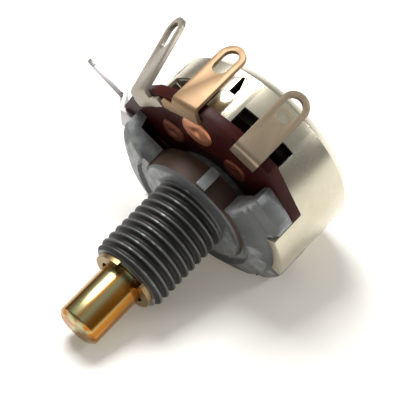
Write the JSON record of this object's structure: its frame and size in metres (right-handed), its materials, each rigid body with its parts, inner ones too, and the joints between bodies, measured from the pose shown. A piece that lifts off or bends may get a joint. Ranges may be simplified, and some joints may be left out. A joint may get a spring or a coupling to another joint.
{
  "type": "rotary potentiometer",
  "caption": "Panel-mount rotary potentiometer: threaded bushing, plain round shaft, red-brown terminal board with solder lugs, tin-plated can.",
  "frame": {"origin": "centre of the plate's mounting face, where the threaded bushing starts, on the shaft's axis", "axes": "+Z along the shaft towards its tip, -Y through the middle of the group of lugs"},
  "size_m": [0.0367, 0.0343, 0.0382],
  "materials": {
    "zinc": "dull grey die-cast zinc with rubbed bright edges",
    "chromate_steel": "smooth turned steel with yellow chromate",
    "brass": "satin",
    "spring_steel": "satin",
    "phenolic": "dark red-brown laminate, slightly glossy",
    "lug_brass": "dull tinned brass, warm grey-beige",
    "copper": "satin copper",
    "carbon": "matt printed carbon",
    "silver": "satin silver plating",
    "insulator": "matt dark moulding",
    "spring_brass": "bright spring bronze",
    "tinplate": "bright tinned steel with a warm cast"
  },
  "bodies": {
    "housing": {"bushing_plate": "zinc", "terminal_board": "phenolic", "terminal_1": "lug_brass", "terminal_2": "lug_brass", "terminal_3": "lug_brass", "terminal_4": "lug_brass", "rivet_1": "copper", "rivet_2": "copper", "rivet_3": "copper", "rivet_4": "copper", "resistance_track": "carbon", "track_end_pad": "silver", "collector_ring": "silver", "can": "tinplate"},
    "spindle": {"shaft": "chromate_steel", "retaining_ring": "brass", "thrust_washer": "spring_steel", "rotor": "insulator", "wiper_spring": "spring_brass", "wiper_rivets": "brass"}
  },
  "joints": [
    {"name": "turn_shaft", "type": "hinge", "parent": "housing", "child": "spindle", "pos_m": [0, 0, 0], "axis": [0, 0, 1], "range_deg": [-146.5, 146.5]}
  ]
}
